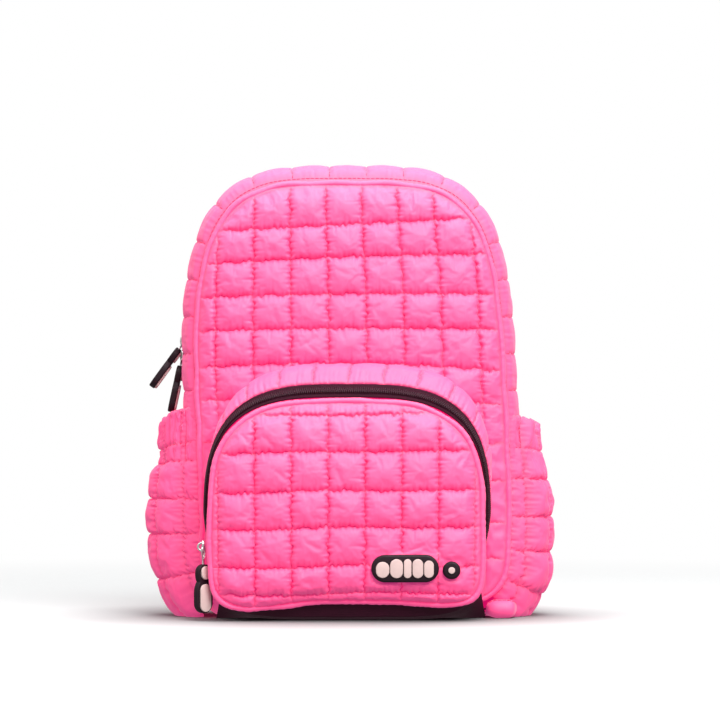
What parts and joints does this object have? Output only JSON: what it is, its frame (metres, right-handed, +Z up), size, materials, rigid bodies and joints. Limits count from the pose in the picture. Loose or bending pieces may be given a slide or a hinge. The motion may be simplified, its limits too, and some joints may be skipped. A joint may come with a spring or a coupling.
{
  "type": "mini backpack",
  "caption": "Small padded backpack in quilted nylon with an arched zip, a puffed front pocket, gathered side pockets and padded shoulder straps.",
  "frame": {"origin": "middle of the bounding box on the surface that the bag stands on", "axes": "+Z up, -Y towards the front pocket, +X to the right seen from the front"},
  "size_m": [0.2768, 0.164, 0.3006],
  "materials": {
    "quilted_nylon": "satin nylon, quilted over padding",
    "piping_nylon": "satin nylon over a round cord",
    "base_cloth": "black woven cloth",
    "zip_cloth": "black woven zip tape",
    "zip_nylon": "black nylon coil",
    "black_rubber": "soft matt rubber",
    "cream_rubber": "soft matt rubber, cream with a hint of pink",
    "pale_metal": "pale satin metal",
    "black_webbing": "black ribbed webbing",
    "black_plastic": "moulded black plastic"
  },
  "bodies": {
    "root": {"front_panel": "quilted_nylon", "front_panel_piping": "piping_nylon", "front_gusset": "quilted_nylon", "main_zip_tape": "zip_cloth", "main_zip_coil": "zip_nylon", "rear_gusset": "quilted_nylon", "back_panel": "quilted_nylon", "base_panel": "base_cloth", "pocket_gusset": "quilted_nylon", "pocket_zip_tape": "zip_cloth", "pocket_zip_coil": "zip_nylon", "pocket_panel": "quilted_nylon", "pocket_piping": "piping_nylon", "pocket_base": "base_cloth", "side_pocket_left": "quilted_nylon", "side_pocket_right": "quilted_nylon", "pocket_slider": "pale_metal", "pocket_pull_loop": "pale_metal", "pocket_pull": "black_rubber", "pocket_pull_head_inlay": "cream_rubber", "pocket_pull_body_inlay": "cream_rubber", "main_slider_upper": "pale_metal", "main_pull_loop_upper": "pale_metal", "main_pull_upper": "black_rubber", "main_pull_head_inlay_upper": "cream_rubber", "main_pull_body_inlay_upper": "cream_rubber", "main_slider_lower": "pale_metal", "main_pull_loop_lower": "pale_metal", "main_pull_lower": "black_rubber", "main_pull_head_inlay_lower": "cream_rubber", "main_pull_body_inlay_lower": "cream_rubber", "badge_base": "black_rubber", "badge_inlay": "cream_rubber", "stud_base": "black_rubber", "stud_inlay": "cream_rubber", "shoulder_strap_left": "quilted_nylon", "strap_webbing_left": "black_webbing", "ladder_lock_left": "black_plastic", "shoulder_strap_right": "quilted_nylon", "strap_webbing_right": "black_webbing", "ladder_lock_right": "black_plastic", "grab_loop": "black_webbing"}
  },
  "joints": []
}
